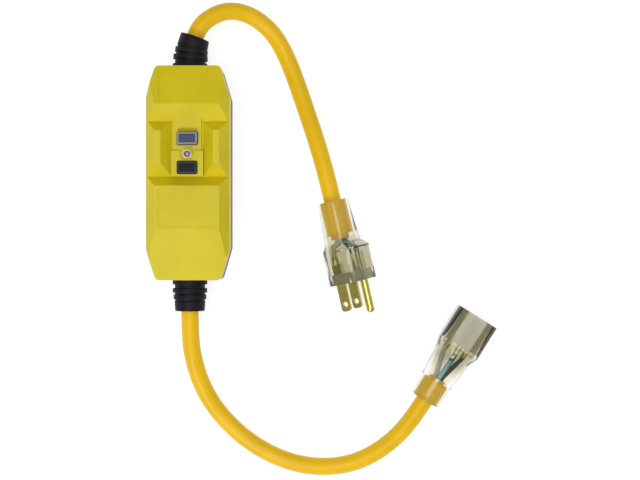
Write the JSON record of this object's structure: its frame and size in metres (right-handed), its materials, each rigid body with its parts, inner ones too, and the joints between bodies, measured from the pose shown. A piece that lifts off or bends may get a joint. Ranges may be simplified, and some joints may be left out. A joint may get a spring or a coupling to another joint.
{
  "type": "inline ground fault interrupter cord set",
  "caption": "In-line ground-fault interrupter housing with reset and test buttons, ribbed strain reliefs, two short cords, a three-blade plug and a matching connector.",
  "frame": {"origin": "Centre of the flat base of the in-line housing.", "axes": "+Z up out of the control face, +Y along the housing toward the plug's cord, +X to the right seen from above with +Y up."},
  "size_m": [0.2055, 0.2823, 0.04],
  "materials": {
    "yellow_housing": "satin moulded, slightly greenish yellow",
    "black_housing": "fine moulded texture",
    "reset_plastic": "smooth blue-grey",
    "test_plastic": "smooth black",
    "black_rubber": "matt moulded",
    "gasket_rubber": "matt",
    "cord_jacket": "smooth extruded jacket, orange yellow",
    "clear_plastic": "clear moulded, faint olive tint",
    "insert_plastic": "milky clear",
    "brass": "plain",
    "contact_copper": "plain copper alloy",
    "zinc_steel": "zinc plated",
    "spring_steel": "drawn wire",
    "board_green": "solder mask",
    "mechanism_plastic": "natural nylon",
    "winding_copper": "enamelled copper",
    "coil_black": "potted ring core",
    "lens_clear": "clear lens",
    "led_red": "diffused",
    "chip_black": "epoxy",
    "varistor_blue": "epoxy dipped",
    "capacitor_sleeve": "sleeved can",
    "resistor_tan": "coated",
    "diode_black": "epoxy",
    "wire_black": "insulation",
    "wire_white": "insulation",
    "wire_green": "insulation"
  },
  "bodies": {
    "housing": {"top_cover": "yellow_housing", "bottom_case": "black_housing", "housing_gasket": "gasket_rubber", "case_screws": "zinc_steel", "reset_spring": "spring_steel", "test_spring": "spring_steel", "indicator_lens": "lens_clear", "indicator_led": "led_red", "circuit_board": "board_green", "board_screws": "zinc_steel", "line_cord_clamp": "mechanism_plastic", "load_cord_clamp": "mechanism_plastic", "clamp_screws": "zinc_steel", "mechanism_frame": "mechanism_plastic", "hot_line_contact": "contact_copper", "neutral_line_contact": "contact_copper", "hot_load_contact": "contact_copper", "neutral_load_contact": "contact_copper", "solenoid_frame": "zinc_steel", "solenoid_bobbin": "mechanism_plastic", "solenoid_winding": "winding_copper", "plunger_spring": "spring_steel", "test_contact_leaf": "contact_copper", "test_resistor": "resistor_tan", "coil_cradle": "mechanism_plastic", "differential_coil": "coil_black", "grounded_neutral_coil": "coil_black", "surge_varistor": "varistor_blue", "filter_capacitor": "capacitor_sleeve", "controller_chip": "chip_black", "rectifier_diodes": "diode_black", "line_hot_wire": "wire_black", "line_neutral_wire": "wire_white", "load_hot_wire": "wire_black", "load_neutral_wire": "wire_white", "ground_wire": "wire_green", "line_boot": "black_rubber", "load_boot": "black_rubber", "line_cord": "cord_jacket", "load_cord": "cord_jacket", "line_cord_ends": "cord_jacket", "load_cord_ends": "cord_jacket", "plug_body": "clear_plastic", "plug_blade_insert": "insert_plastic", "plug_hot_blade": "brass", "plug_neutral_blade": "brass", "plug_ground_pin": "brass", "connector_body": "clear_plastic", "connector_core": "insert_plastic", "connector_hot_contact": "brass", "connector_neutral_contact": "brass", "connector_ground_contact": "brass"},
    "reset": {"reset_button": "reset_plastic"},
    "test": {"test_button": "test_plastic"},
    "carrier": {"contact_carrier": "mechanism_plastic", "hot_bridge_contact": "contact_copper", "neutral_bridge_contact": "contact_copper"},
    "latch": {"latch_plate": "zinc_steel"},
    "plunger": {"solenoid_plunger": "zinc_steel"}
  },
  "joints": [
    {"name": "reset_press", "type": "slide", "parent": "housing", "child": "reset", "axis": [0, 0, -1], "range_m": [0, 0.0025], "stiffness_N_per_m": 400, "springref_m": -0.002, "deforming": ["reset_spring"]},
    {"name": "test_press", "type": "slide", "parent": "housing", "child": "test", "axis": [0, 0, -1], "range_m": [0, 0.0015], "stiffness_N_per_m": 300, "springref_m": -0.0015, "deforming": ["test_spring"]},
    {"name": "contact_trip", "type": "slide", "parent": "housing", "child": "carrier", "axis": [0, 0, -1], "range_m": [0, 0.0015], "stiffness_N_per_m": 400, "springref_m": -0.001},
    {"name": "plunger_stroke", "type": "slide", "parent": "housing", "child": "plunger", "axis": [0, 1, 0], "range_m": [0, 0.0012], "stiffness_N_per_m": 200, "springref_m": -0.0008},
    {"name": "latch_slide", "type": "slide", "parent": "carrier", "child": "latch", "axis": [0, 1, 0], "range_m": [0, 0.0012]}
  ],
  "couplings": [
    {"joint": "latch_slide", "follows": "plunger_stroke", "ratio": 1}
  ]
}
